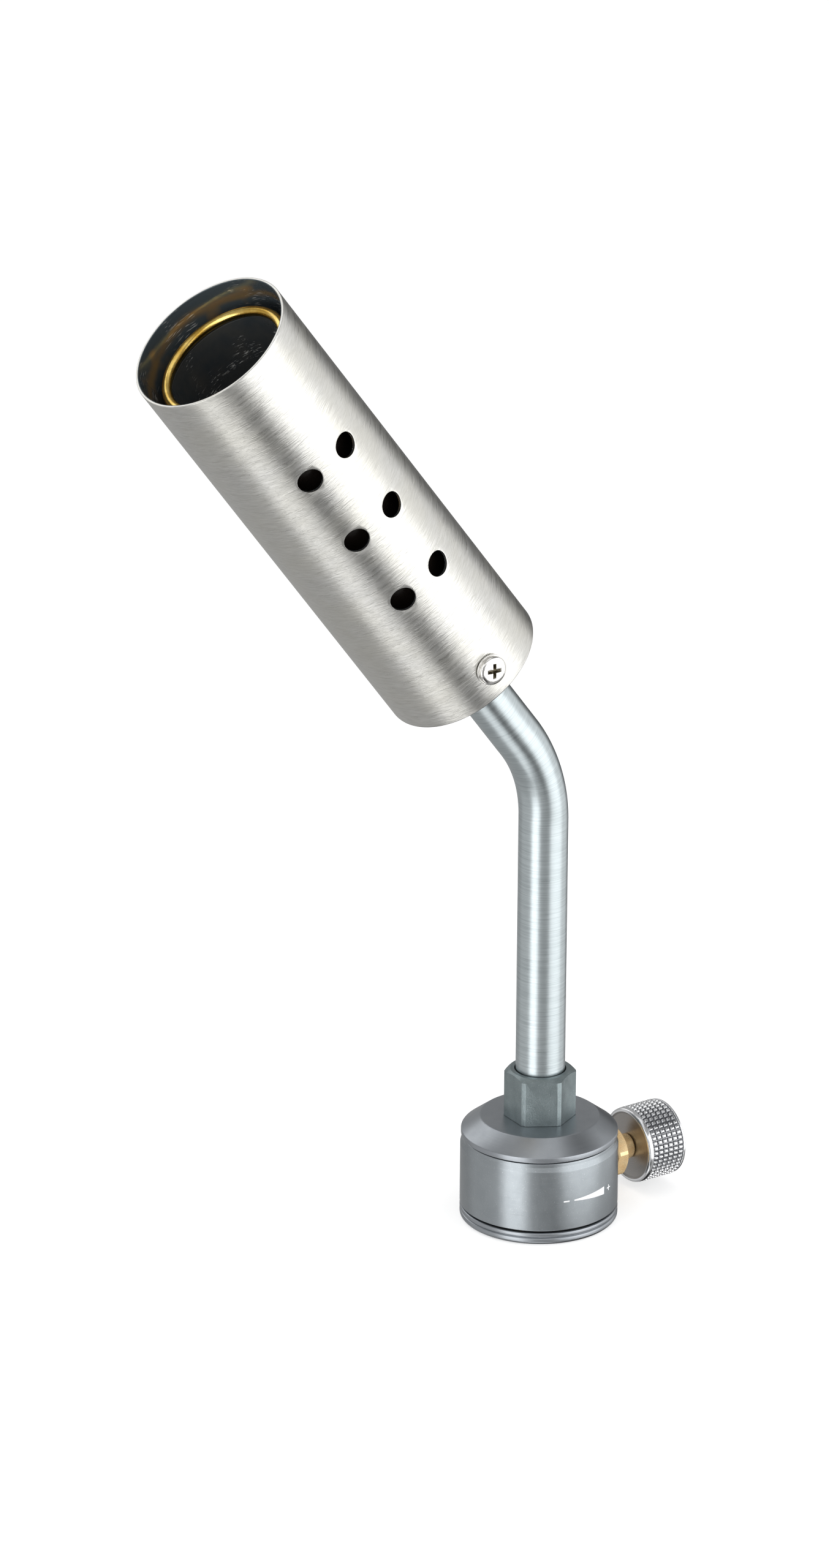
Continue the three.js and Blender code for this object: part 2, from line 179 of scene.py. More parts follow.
class Finish(Sheet):  # one material and the nodes in it
    def __init__(self, name, color, metallic=1.0, roughness=0.3, **fixed):
        self.material = bpy.data.materials.new(name)
        self.material.use_nodes = True
        super().__init__(self.material.node_tree)
        self.shader = self.tree.nodes["Principled BSDF"]
        self.shader.inputs["Base Color"].default_value = (*color, 1)
        self.shader.inputs["Metallic"].default_value = metallic
        self.shader.inputs["Roughness"].default_value = roughness
        for key, value in fixed.items():
            self.shader.inputs[key.replace("_", " ")].default_value = value

    def feed(self, **values):  # what varies over the surface; gives the finished material
        for key, value in values.items():
            self.connect(value, self.shader.inputs[key.replace("_", " ")])
        return self.material

    def place(self, matrix):  # coordinates in mm, in the piece's own turned frame
        coords = self.node("ShaderNodeTexCoord", None, None, "Object")
        spot, turn, _ = matrix.decompose()
        return self.node("ShaderNodeMapping", {"vector_type": "TEXTURE"}, {
            "Vector": coords, "Location": spot, "Rotation": turn.to_euler(), "Scale": (mm, mm, mm)})

    def noise(self, vector, scale=1.0, detail=2.0, roughness=0.5):
        return self.node("ShaderNodeTexNoise", {"noise_dimensions": "3D"}, {
            "Vector": vector, "Scale": scale, "Detail": detail, "Roughness": roughness}, "Fac")

    def blend(self, factor, first, second):
        first, second = ((*value, 1) if isinstance(value, tuple) else value for value in (first, second))
        return self.node("ShaderNodeMix", {"data_type": "RGBA"}, {
            "Factor": factor, "A": first, "B": second}, "Result")

    def bump(self, height, depth):
        return self.node("ShaderNodeBump", None, {"Height": height, "Distance": depth * mm, "Strength": 1.0})

    def mottle(self, cloud, look, start=0.3):  # the look's two colours in soft patches
        return self.blend(cloud.ramp(start, 1 - start), look["color"], look["other"])

    def rings(self, x, y, along):  # fine lines left by a lathe
        return self.noise(self.merge(x * 0.06, y * 0.06, along), 1.0, 3, 0.65)


def radiusOf(x, y):
    return (x * x + y * y) ** 0.5


def brushedTube(name, place, look):  # steel brushed round its axis, heat scaled inside, with a painted reflection of the brass mouth ring as a bronze band on the inner wall
    finish = Finish(name, look["color"])
    at = finish.place(place)
    x, y, z = finish.split(at)
    inside = radiusOf(x, y).below(look["insideRadius"], 0.05)
    outside = 1 - inside
    sway = finish.noise(at, 0.35) * 0.9
    stroke = finish.noise(finish.merge(x * 0.36, y * 0.36, (z + sway) * 4.4), 1.0, 2, 0.55)
    band = finish.noise(finish.merge(x * 0.1, y * 0.1, (z + sway) * 1.3))
    cloud = finish.noise(at, 0.11)
    patch = finish.noise(at, 0.17)
    steel = finish.blend(stroke.ramp(0.32, 0.62), look["dark"], look["color"])
    steel = finish.blend(cloud.ramp(0.35, 0.7, 0.5), steel, look["warm"])
    scale = finish.blend(cloud.ramp(0.54, 0.66, 0.8), look["scale"], look["bronze"])
    # painted reflection: a bronze band on the inner wall just above the mouth ring, standing in for the ring seen
    # in the wall
    ringReflection = (z - look["ringReflectionHeight"] + (cloud - 0.5) * 4).size().below(look["ringReflectionWidth"], 0.8) * 0.6
    scale = finish.blend(ringReflection, scale, look["bronze"])
    scored = stroke.ramp(0.6, 0.68) * patch.ramp(0.54, 0.62)
    scale = finish.blend(scored, scale, look["scored"])
    brushed = stroke * 0.12 + band * 0.16 + look["roughness"]
    return finish.feed(
        Base_Color=finish.blend(inside, steel, scale),
        Metallic=1 - inside * (1 - look["insideShine"]),
        Roughness=brushed * outside + inside * look["insideRoughness"],
        Normal=finish.bump(stroke * (outside * 0.85 + 0.15) + band * outside * 0.8, look["lineDepth"]),
    )


def turnedMetal(name, look):  # lathe-turned metal with fine rings round its axis, and painted glints as light specks
    finish = Finish(name, look["color"])
    at = finish.place(upright)
    x, y, z = finish.split(at)
    lines = finish.rings(x, y, (radiusOf(x, y) + z * 2.3) * look["lines"])
    cloud = finish.noise(at, 0.35, 3)
    # painted glints: light specks in the colour
    glintSpecks = finish.noise(at, 9.0).ramp(0.62, 0.75, look["glintSpecks"])
    return finish.feed(
        Base_Color=finish.blend(glintSpecks, finish.mottle(cloud, look), look["glintColor"]),
        Roughness=lines * 0.12 + cloud * 0.08 + look["roughness"],
        Normal=finish.bump(lines, look["lineDepth"]),
    )


def blastedMetal(name, look):  # bead blasted and anodised, with painted glints in the pits
    finish = Finish(name, look["color"])
    at = finish.place(upright)
    grain = finish.noise(at, 3.6, 3, 0.6)
    # painted glints: light flecks in the colour
    glint = finish.noise(at, 6.5).ramp(0.64, 0.74, 0.75)
    cloud = finish.noise(at, 0.5, 3)
    return finish.feed(
        Base_Color=finish.blend(glint, finish.mottle(cloud, look), look["glintColor"]),
        Roughness=grain * 0.2 + look["roughness"],
        Normal=finish.bump(grain, look["grainDepth"]),
    )


def drawnTube(name, look):  # scratches run round the tube and follow its bend
    finish = Finish(name, look["color"])
    u, v, _ = finish.split(finish.node("ShaderNodeTexCoord", None, None, "UV"))
    around, across, length = (u * (2 * math.pi)).cos(), (u * (2 * math.pi)).sin(), v * 1000
    fine = finish.noise(finish.merge(around * 0.7, across * 0.7, length * 4.5), 1.0, 3, 0.6)
    ring = finish.noise(finish.merge(around * 0.25, across * 0.25, length * 1.4), 1.0, 3, 0.7)
    dent = finish.noise(finish.merge(around * 3.5, across * 3.5, length * 0.7), 1.0, 3)
    worn = length.below(look["wornLength"], look["wornBlur"])
    height = fine * (worn * 0.7 + 0.3) + ring * (worn * 0.9 + 0.2) + dent * 0.5
    return finish.feed(
        Base_Color=finish.blend(fine.ramp(0.35, 0.6), look["dark"], look["color"]),
        Roughness=fine * 0.12 + ring * 0.1 + look["roughness"],
        Normal=finish.bump(height, look["lineDepth"]),
    )


def softMetal(name, look, place=upright):  # brass, nickel and the like: nearly even, lightly clouded
    finish = Finish(name, look["color"], metallic=look.get("shine", 1.0))
    at = finish.place(place)
    cloud = finish.noise(at, look.get("cloud", 0.7), 3)
    fine = finish.noise(at, 6.0, 3)
    return finish.feed(
        Base_Color=finish.mottle(cloud, look, 0.35),
        Roughness=fine * 0.1 + cloud * 0.12 + look["roughness"],
        Normal=finish.bump(fine + cloud, look["grainDepth"]),
    )


def scaledMetal(name, place, look):  # glossy blue-grey heat scale with a few scratches; the outside, seen only through the flame tube's holes, is painted near black as shade
    finish = Finish(name, look["color"], metallic=0.35)
    at = finish.place(place)
    x, y, z = finish.split(at)
    cloud = finish.noise(at, 0.22, 3)
    streaks = finish.noise(finish.merge(x * 0.45, y * 0.45, z * 2.8), 1.0, 3, 0.7)
    patch = finish.noise(at, 0.14, 1)
    scratch = streaks.ramp(0.58, 0.66) * patch.ramp(0.53, 0.6)
    # painted shade: the outer wall, which sits inside the flame tube, is coloured near black
    shadedOutside = 1 - radiusOf(x, y).below(look["shadeRadius"], 0.05)
    shade = finish.blend(shadedOutside, finish.mottle(cloud, look), look["outsideShade"])
    return finish.feed(
        Base_Color=finish.blend(scratch * (1 - shadedOutside), shade, look["scratch"]),
        Roughness=cloud * 0.15 + scratch * 0.2 + look["roughness"],
        Normal=finish.bump(streaks + cloud, look["grainDepth"]),
    )


def softRubber(name, look):  # moulded seals and liners
    finish = Finish(name, look["color"], metallic=0.0)
    at = finish.place(upright)
    fine = finish.noise(at, 5.0, 3)
    return finish.feed(
        Base_Color=finish.mottle(finish.noise(at, 0.6, 3), look),
        Roughness=fine * 0.15 + look["roughness"],
        Normal=finish.bump(fine, 0.01),
    )


def platedScrew(name, place, look):  # bright nickel, darker and browner down in the cross recess
    finish = Finish(name, look["color"])
    at = finish.place(place)
    x, y, z = finish.split(at)
    fromAxis = radiusOf(x, z - look["height"])
    deep = radiusOf(x, y).below(look["recessTop"], 0.06) * fromAxis.below(look["recessReach"], 0.05)
    cloud = finish.noise(at, 0.9, 3)
    fine = finish.noise(at, 6.0, 3)
    # darker brown colour down in the cross recess
    recessColor = finish.blend(fine, look["recessColor"], look["recessLightColor"])
    return finish.feed(
        Base_Color=finish.blend(deep, finish.mottle(cloud, look, 0.35), recessColor),
        Roughness=fine * 0.1 + deep * 0.25 + look["roughness"],
        Normal=finish.bump(fine + cloud, look["grainDepth"]),
    )


def knurledKnob(name, place, look):  # bright turned metal, with painted shade and more roughness in the knurl's valleys, darker and rougher on both faces
    finish = Finish(name, look["color"])
    at = finish.place(place)
    x, y, z = finish.split(at)
    radius = radiusOf(x, y)
    lines = finish.rings(x, y, (radius + z * 2.3) * 5)
    cloud = finish.noise(at, 0.5, 3)
    knurled = (1 - z.below(look["knurlStart"], 0.03)) * z.below(look["knurlEnd"], 0.03)
    valleyShade = radius.below(look["valleyTop"], 0.1) * knurled
    hub = z.below(look["hubFace"], 0.03) * radius.below(look["hubRadius"], 0.05)
    end = (1 - z.below(look["endFace"], 0.03)) * radius.below(look["endRadius"], 0.05)
    # painted shade in the valleys between the knurl's studs
    shade = finish.blend(valleyShade, finish.mottle(cloud, look), look["valleyShade"])
    shade = finish.blend(end, shade, look["end"])
    return finish.feed(
        Base_Color=finish.blend(hub, shade, look["hub"]),
        Roughness=lines * 0.1 + valleyShade * 0.1 + (hub + end) * 0.12 + look["roughness"],
        Normal=finish.bump(lines * (1 - knurled) + cloud * 0.3, look["lineDepth"]),
    )


def markedSleeve(name, look):  # turned grey anodising with painted glints as light specks and a printed flow mark: minus, wedge, plus
    finish = Finish(name, look["color"])
    at = finish.place(Matrix.Rotation(look["markTurn"], 4, "Z"))
    x, y, z = finish.split(at)
    around = finish.node("ShaderNodeMath", {"operation": "ARCTAN2"}, {0: y, 1: x}) * look["radius"]
    lines = finish.rings(x, y, z * look["lines"])
    brushed = finish.noise(finish.merge(x * 1.2, y * 1.2, z * 0.35), 1.0, 3, 0.6)
    # painted glints: light specks in the colour
    glintSpecks = finish.noise(at, 5.0).ramp(0.64, 0.74, look["glintSpecks"])
    shade = finish.blend(glintSpecks, finish.mottle(finish.noise(at, 0.35, 3), look), look["glintColor"])
    half = look["markLength"] / 2
    level = (z - look["markHeight"]).size()
    rise = around.ramp(-half, half, look["wedgeThick"], look["wedgeThin"])
    wedge = around.size().below(half, 0.02) * (level - rise).below(0.0, 0.03)
    bar, arm = look["signWidth"], look["signReach"]
    minus = (around + half + look["signGap"]).size()
    plus = (around - half - look["signGap"]).size()
    signs = (minus.below(arm, 0.02) + plus.below(arm, 0.02)) * level.below(bar, 0.02)
    stem = plus.below(bar, 0.02) * level.below(arm, 0.02)
    skin = 1 - radiusOf(x, y).below(look["radius"] - 0.1, 0.05)
    printed = stem.calc("MAXIMUM", wedge + signs, stem) * skin
    return finish.feed(
        Base_Color=finish.blend(printed, shade, look["print"]),
        Metallic=1 - printed,
        Roughness=lines * 0.1 + brushed * 0.1 + printed * 0.2 + look["roughness"],
        Normal=finish.bump(lines + brushed * 0.5, look["lineDepth"]),
    )


finishes = {
    "brushed_stainless": brushedTube("brushedStainless", burnerPlace, {
        "color": (0.70, 0.695, 0.67), "dark": (0.58, 0.575, 0.545), "warm": (0.66, 0.645, 0.58),
        "scale": (0.10, 0.125, 0.14), "bronze": (0.36, 0.23, 0.09), "scored": (0.8, 0.8, 0.78),
        "insideRadius": tubeRadius - 0.45, "roughness": 0.17, "insideRoughness": 0.13, "insideShine": 0.55,
        # the bronze band's height and width place a painted reflection of the mouth ring
        "ringReflectionHeight": station("mouth_ring") + 1.9, "ringReflectionWidth": 0.7, "lineDepth": 0.05}),
    # the light speck colours in these looks are painted glints
    "anodised_grey": turnedMetal("anodisedGrey", {
        "color": (0.365, 0.388, 0.412), "other": (0.335, 0.357, 0.382), "glintColor": (0.6, 0.61, 0.63),
        "glintSpecks": 0.25, "lines": 5.0, "roughness": 0.24, "lineDepth": 0.012}),
    "dark_anodised": blastedMetal("darkAnodised", {
        "color": (0.285, 0.335, 0.345), "other": (0.235, 0.278, 0.286), "glintColor": (0.55, 0.6, 0.6),
        "roughness": 0.33, "grainDepth": 0.045}),
    "satin_aluminium": drawnTube("satinAluminium", {
        "color": (0.55, 0.605, 0.62), "dark": (0.44, 0.49, 0.505), "roughness": 0.2,
        "lineDepth": 0.012, "wornLength": 55, "wornBlur": 20}),
    "bright_aluminium": turnedMetal("brightAluminium", {
        "color": (0.74, 0.745, 0.76), "other": (0.68, 0.69, 0.70), "glintColor": (0.8, 0.8, 0.8),
        "glintSpecks": 0.1, "lines": 6.0, "roughness": 0.14, "lineDepth": 0.006}),
    "brass": softMetal("machinedBrass", {
        "color": (0.80, 0.56, 0.24), "other": (0.72, 0.47, 0.18), "roughness": 0.16, "grainDepth": 0.01}),
    "tinted_brass": softMetal("tintedBrass", {
        "color": (0.92, 0.68, 0.22), "other": (0.62, 0.38, 0.07), "roughness": 0.08, "grainDepth": 0.02,
        "cloud": 0.25}),
    "scaled_steel": scaledMetal("scaledSteel", burnerPlace, {
        "color": (0.055, 0.066, 0.075), "other": (0.09, 0.09, 0.085), "scratch": (0.75, 0.75, 0.73),
        # the near-black outside colour is painted shade
        "outsideShade": (0.012, 0.009, 0.007), "shadeRadius": 12.9, "roughness": 0.16, "grainDepth": 0.012}),
    "nickel_plate": platedScrew("nickelPlate", burnerPlace, {
        "color": (0.80, 0.79, 0.77), "other": (0.72, 0.71, 0.68), "roughness": 0.1, "grainDepth": 0.01,
        "recessColor": (0.03, 0.028, 0.02), "recessLightColor": (0.3, 0.26, 0.18), "recessTop": tubeRadius + 1.6,
        "recessReach": 1.85, "height": station("flame_tube_screw_1")}),
    "rubber_black": softRubber("nitrileRubber", {
        "color": (0.02, 0.02, 0.022), "other": (0.035, 0.035, 0.036), "roughness": 0.6}),
    "filter_bronze": softMetal("sinteredBronze", {
        "color": (0.42, 0.29, 0.16), "other": (0.30, 0.20, 0.10), "roughness": 0.5, "grainDepth": 0.08,
        "cloud": 3.0}),
    "fluoropolymer": softRubber("fluoropolymer", {
        "color": (0.82, 0.81, 0.78), "other": (0.76, 0.75, 0.72), "roughness": 0.4}),
}
paleBrass = softMetal("paleBrass", {
    "color": (0.93, 0.69, 0.38), "other": (0.87, 0.60, 0.30), "roughness": 0.17, "grainDepth": 0.006,
    "shine": 0.6})
darkSteel = softMetal("darkSteel", {
    "color": (0.10, 0.105, 0.11), "other": (0.16, 0.155, 0.145), "roughness": 0.3, "grainDepth": 0.02},
    burnerPlace)
knobFinish = knurledKnob("knobAluminium", valvePlace, {
    # the dark valley colour is painted shade
    "color": (0.80, 0.805, 0.82), "other": (0.74, 0.75, 0.76), "valleyShade": (0.32, 0.325, 0.34),
    "hub": (0.34, 0.325, 0.31), "end": (0.6, 0.605, 0.62), "knurlStart": 23.35, "knurlEnd": 30.7,
    "valleyTop": 7.5, "hubFace": 22.6, "hubRadius": 7.05, "endFace": 31.15, "endRadius": 7.2,
    "roughness": 0.12, "lineDepth": 0.006})
sleeveFinish = markedSleeve("sleeveAnodised", {
    "color": (0.36, 0.39, 0.41), "other": (0.33, 0.359, 0.379), "glintColor": (0.7, 0.71, 0.73),
    "glintSpecks": 0.5, "lines": 4.0, "roughness": 0.22, "lineDepth": 0.01, "print": (0.82, 0.83, 0.84),
    "radius": 16.0, "markTurn": math.radians(-82), "markHeight": 9.2, "markLength": 8.0,
    "wedgeThin": 0.12, "wedgeThick": 0.85, "signWidth": 0.13, "signReach": 0.62, "signGap": 1.7})
slotOf = {part["node"]: part["material_slot"] for part in frame["record"]["subparts"]}
bodyOf = {node: body for body, members in frame["record"]["behaviour"]["bodies"].items() for node in members}
for name, cadNode in nodes.items():
    cadNode.data.materials.clear()
    cadNode.data.materials.append(finishes[slotOf[name]])
print("finishes made")


# mesh building, in millimetres

def rounded(section, steps=4):  # corners given as (radius, height, rounding) become short curves
    outline = []
    count = len(section)
    for index, corner in enumerate(section):
        spot = Vector(corner[:2])
        if len(corner) < 3:
            outline.append(spot)
            continue
        before = (Vector(section[index - 1][:2]) - spot).normalized() * corner[2]
        after = (Vector(section[(index + 1) % count][:2]) - spot).normalized() * corner[2]
        for step in range(steps + 1):
            part = step / steps
            outline.append(spot + before * (1 - part) ** 2 + after * part ** 2)
    return outline


def objectOf(name, shape):  # a built shape becomes an object in the scene
    mesh = bpy.data.meshes.new(name)
    shape.to_mesh(mesh)
    shape.free()
    piece = bpy.data.objects.new(name, mesh)
    bpy.context.scene.collection.objects.link(piece)
    return piece


def turnedMesh(name, section, segments=128):  # section runs anticlockwise round (radius, height)
    outline = rounded(section)
    shape = bmesh.new()
    rings = []
    for radius, height in outline:
        if radius < 1e-6:
            rings.append([shape.verts.new((0, 0, height))])
            continue
        turns = [2 * math.pi * step / segments for step in range(segments)]
        rings.append([shape.verts.new((radius * math.cos(t), radius * math.sin(t), height)) for t in turns])
    closed = len(rings[0]) > 1
    pairs = zip(rings, rings[1:] + rings[:1] if closed else rings[1:])
    for low, high in pairs:
        for here in range(segments):
            after = (here + 1) % segments
            if len(low) == 1:
                shape.faces.new((low[0], high[after], high[here]))
            elif len(high) == 1:
                shape.faces.new((low[here], low[after], high[0]))
            else:
                shape.faces.new((low[here], low[after], high[after], high[here]))
    return objectOf(name, shape)


def rod(radius, bottom, top, segments=64):  # a plain cylinder to cut or join with
    return turnedMesh("rod", [(0, bottom), (radius, bottom), (radius, top), (0, top)], segments)


def prismMesh(name, corners, bottom, top):  # corners anticlockwise
    shape = bmesh.new()
    low = [shape.verts.new((x, y, bottom)) for x, y in corners]
    high = [shape.verts.new((x, y, top)) for x, y in corners]
    shape.faces.new(reversed(low))
    shape.faces.new(high)
    for here in range(len(corners)):
        after = (here + 1) % len(corners)
        shape.faces.new((low[here], low[after], high[after], high[here]))
    return objectOf(name, shape)


def hexCorners(acrossFlats):
    corner = acrossFlats / math.sqrt(3)
    turns = [(side + 0.5) * math.pi / 3 for side in range(6)]
    return [(corner * math.cos(turn), corner * math.sin(turn)) for turn in turns]


def bake(piece):  # modifiers become mesh
    bpy.context.view_layer.update()
    evaluated = piece.evaluated_get(bpy.context.evaluated_depsgraph_get())
    mesh = bpy.data.meshes.new_from_object(evaluated)
    piece.modifiers.clear()
    old = piece.data
    piece.data = mesh
    bpy.data.meshes.remove(old)
    return piece


def carve(piece, tool, operation="DIFFERENCE"):  # tool is used up
    modifier = piece.modifiers.new("carve", "BOOLEAN")
    modifier.operation = operation
    modifier.solver = "EXACT"
    modifier.object = tool
    bake(piece)
    bpy.data.objects.remove(tool)
    return piece


def soften(piece, width, segments=2, angle=35):  # a small bevel on every hard edge
    modifier = piece.modifiers.new("soften", "BEVEL")
    modifier.width = width
    modifier.segments = segments
    modifier.limit_method = "ANGLE"
    modifier.angle_limit = math.radians(angle)
    return bake(piece)


def settle(piece, place, material, node, *others, sharp=38):  # into the scene, on its body
    piece.data.transform(place @ Matrix.Scale(mm, 4))
    piece.data.materials.clear()
    piece.data.materials.append(material)
    for polygon in piece.data.polygons:
        polygon.use_smooth = True
    piece.data.set_sharp_from_angle(angle=math.radians(sharp))
    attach(piece, bodyOf[node])
    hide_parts(node, *others)
    return piece


# geometry node building

class Graph(Sheet):  # a geometry node tree with named inputs
    def __init__(self, name, inputs):
        super().__init__(bpy.data.node_groups.new(name, "GeometryNodeTree"))
        face = self.tree.interface
        face.new_socket("Geometry", in_out="INPUT", socket_type="NodeSocketGeometry")
        for title, value in inputs.items():
            kind = {float: "Float", int: "Int"}.get(type(value), "Object")
            socket = face.new_socket(title, in_out="INPUT", socket_type="NodeSocket" + kind)
            if value is not None:
                socket.default_value = value
        face.new_socket("Material", in_out="INPUT", socket_type="NodeSocketMaterial")
        face.new_socket("Geometry", in_out="OUTPUT", socket_type="NodeSocketGeometry")
        self.source = self.tree.nodes.new("NodeGroupInput")
        self.result = self.tree.nodes.new("NodeGroupOutput")

    def input(self, title):
        return Wire(self, self.source.outputs[title])

    def index(self):
        return self.node("GeometryNodeInputIndex")

    def polar(self, radius, angle, height, count):  # points placed round the axis
        cloud = self.node("GeometryNodePoints", None, {"Count": count})
        spot = self.merge(radius * angle.cos(), radius * angle.sin(), height)
        return self.node("GeometryNodeSetPosition", None, {"Geometry": cloud, "Position": spot})

    def scatter(self, points, shape, angle=None):  # shapes on points, lying outward where an angle is given
        turn = {"Rotation": self.merge(0.0, math.pi / 2, angle)} if angle else {}
        return self.node("GeometryNodeInstanceOnPoints", None, {"Points": points, "Instance": shape, **turn})

    def cut(self, tools):
        real = self.node("GeometryNodeRealizeInstances", None, {"Geometry": tools})
        return self.node("GeometryNodeMeshBoolean", {"operation": "DIFFERENCE", "solver": "EXACT"}, {
            "Mesh 1": self.input("Geometry"), "Mesh 2": real}, "Mesh")

    def join(self, *shapes):
        return self.node("GeometryNodeJoinGeometry", None, {"Geometry": list(shapes)})

    def finish(self, geometry):
        real = self.node("GeometryNodeRealizeInstances", None, {"Geometry": geometry})
        painted = self.node("GeometryNodeSetMaterial", None, {
            "Geometry": real, "Material": self.input("Material")})
        self.tree.links.new(painted.socket, self.result.inputs["Geometry"])
        return self.tree


def grow(piece, tree, material, **values):  # runs a tree on a piece and keeps the plain mesh
    modifier = piece.modifiers.new(tree.name, "NODES")
    modifier.node_group = tree
    titles = {key.replace("_", " "): value for key, value in values.items()}
    titles["Material"] = material
    for item in tree.interface.items_tree:
        if item.in_out == "INPUT" and item.name in titles:
            modifier[item.identifier] = titles[item.name]
    return bake(piece)


def radialDrill():  # rings of four holes through a tube's wall, in pairs about the two flanks
    graph = Graph("radialDrill", {
        "Hole Radius": 2.6, "Wall Radius": 16.0, "First Ring": 30.0, "Ring Pitch": 18.0, "Rings": 3,
        "Half Angle": 0.3, "Depth": 6.0})
    index = graph.index()
    side = (index % 2) * 2 - 1
    flank = (index // 2) % 2
    angle = flank * math.pi + side * graph.input("Half Angle") - math.pi / 2
    height = graph.input("First Ring") + (index // 4) * graph.input("Ring Pitch")
    points = graph.polar(graph.input("Wall Radius"), angle, height, graph.input("Rings") * 4)
    drill = graph.node("GeometryNodeMeshCylinder", None, {
        "Vertices": 48, "Radius": graph.input("Hole Radius"), "Depth": graph.input("Depth")})
    return graph.finish(graph.cut(graph.scatter(points, drill, angle)))


def axialDrill():  # one ring of holes through a disc
    graph = Graph("axialDrill", {
        "Hole Radius": 1.0, "Ring Radius": 5.0, "Holes": 6, "Height": 0.0, "Depth": 20.0})
    angle = graph.index() * (2 * math.pi) / graph.input("Holes")
    ring, height = graph.input("Ring Radius"), graph.input("Height")
    points = graph.polar(ring, angle, height, graph.input("Holes"))
    drill = graph.node("GeometryNodeMeshCylinder", None, {
        "Vertices": 24, "Radius": graph.input("Hole Radius"), "Depth": graph.input("Depth")})
    return graph.finish(graph.cut(graph.scatter(points, drill)))


def studGrid():  # raised studs in columns round a cylinder, added to it
    graph = Graph("studGrid", {
        "Stud": None, "Radius": 7.5, "Start": 24.0, "Column Pitch": 1.2, "Columns": 6, "Rows": 46})
    index, rows = graph.index(), graph.input("Rows")
    angle = (index % rows) * (2 * math.pi) / rows
    height = graph.input("Start") + (index // rows) * graph.input("Column Pitch")
    points = graph.polar(graph.input("Radius"), angle, height, rows * graph.input("Columns"))
    stud = graph.node("GeometryNodeObjectInfo", None, {"Object": graph.input("Stud")}, "Geometry")
    return graph.finish(graph.join(graph.input("Geometry"), graph.scatter(points, stud, angle)))


def flankPair():  # one fastener on each flank of the tube
    graph = Graph("flankPair", {"Radius": 16.5, "Height": 6.0})
    angle = graph.index() * math.pi - math.pi / 2
    points = graph.polar(graph.input("Radius"), angle, graph.input("Height"), 2)
    return graph.finish(graph.scatter(points, graph.input("Geometry"), angle))


def threadRidge():  # a ridge that winds up a bore
    graph = Graph("threadRidge", {"Radius": 5.3, "Turns": 6.0, "Length": 6.0, "Ridge": 0.3, "Bottom": 0.0})
    helix = graph.node("GeometryNodeCurveSpiral", None, {
        "Resolution": 48, "Rotations": graph.input("Turns"), "Start Radius": graph.input("Radius"),
        "End Radius": graph.input("Radius"), "Height": graph.input("Length")})
    section = graph.node("GeometryNodeCurvePrimitiveCircle", None, {
        "Resolution": 4, "Radius": graph.input("Ridge")})
    ridge = graph.node("GeometryNodeCurveToMesh", None, {
        "Curve": helix, "Profile Curve": section, "Fill Caps": True})
    ridge = graph.node("GeometryNodeTransform", None, {
        "Geometry": ridge, "Translation": graph.merge(0.0, 0.0, graph.input("Bottom"))})
    return graph.finish(graph.join(graph.input("Geometry"), ridge))


radialTree = radialDrill()
axialTree = axialDrill()
studTree = studGrid()
flankTree = flankPair()
threadTree = threadRidge()
print("geometry trees built")


# outer flame tube

flameTube = {"wall": 0.6, "rimRounding": 0.14, "footRounding": 0.29, "holeRadius": 2.6, "firstRing": 32.7,
             "ringPitch": 17.8, "rings": 3, "halfAngle": math.radians(17.45), "holeBevel": 0.16, "rows": 60}


def makeFlameTube(size):
    steel = finishes["brushed_stainless"]
    inner = tubeRadius - size["wall"]
    rows = [tubeLength * step / size["rows"] for step in range(1, size["rows"])]
    section = [(inner, 0, size["footRounding"]), (tubeRadius, 0, size["footRounding"])]
    section += [(tubeRadius, height) for height in rows]
    section += [(tubeRadius, tubeLength, size["rimRounding"]), (inner, tubeLength, size["rimRounding"])]
    section += [(inner, height) for height in reversed(rows)]
    tube = turnedMesh("flameTube", section, 144)
    grow(tube, radialTree, steel, Hole_Radius=size["holeRadius"], Wall_Radius=tubeRadius,
         First_Ring=size["firstRing"], Ring_Pitch=size["ringPitch"], Rings=size["rings"],
         Half_Angle=size["halfAngle"])
    soften(tube, size["holeBevel"], 2, 50)
    settle(tube, burnerPlace, steel, "flame_tube")


makeFlameTube(flameTube)
print("flame tube made")


# inner burner tube, its ring and the flame holder

burnerTube = {"radius": 13.1, "wall": 0.5, "boxHeight": boxSize("inner_burner_tube").z, "lip": 0.1,
              "rows": 30, "airRadius": 3.0, "airHeight": 11.2}
mouthRing = {"wire": 1.0, "segments": 160, "sides": 28}
flameHolder = {"thickness": 2.0, "edgeGap": 0.3, "edge": 0.2, "holeRadius": 0.95,
               "rings": [(0.0, 1), (3.6, 6), (7.1, 12), (10.3, 18)]}


def makeBurnerTube(size):
    steel = finishes["scaled_steel"]
    outer, inner, lip = size["radius"], size["radius"] - size["wall"], size["lip"]
    half = (size["boxHeight"] - 2 * outer * math.sin(lean)) / math.cos(lean) / 2
    middle = station("inner_burner_tube")
    low, high = middle - half, middle + half
    rows = [low + (high - low) * step / size["rows"] for step in range(1, size["rows"])]
    section = [(inner, low, lip), (outer, low, lip)] + [(outer, height) for height in rows]
    section += [(outer, high, lip), (inner, high, lip)] + [(inner, height) for height in reversed(rows)]
    tube = turnedMesh("burnerTube", section, 128)
    grow(tube, radialTree, steel, Hole_Radius=size["airRadius"], Wall_Radius=outer,
         First_Ring=low + size["airHeight"], Rings=1, Half_Angle=math.pi / 4)
    settle(tube, burnerPlace, steel, "inner_burner_tube")


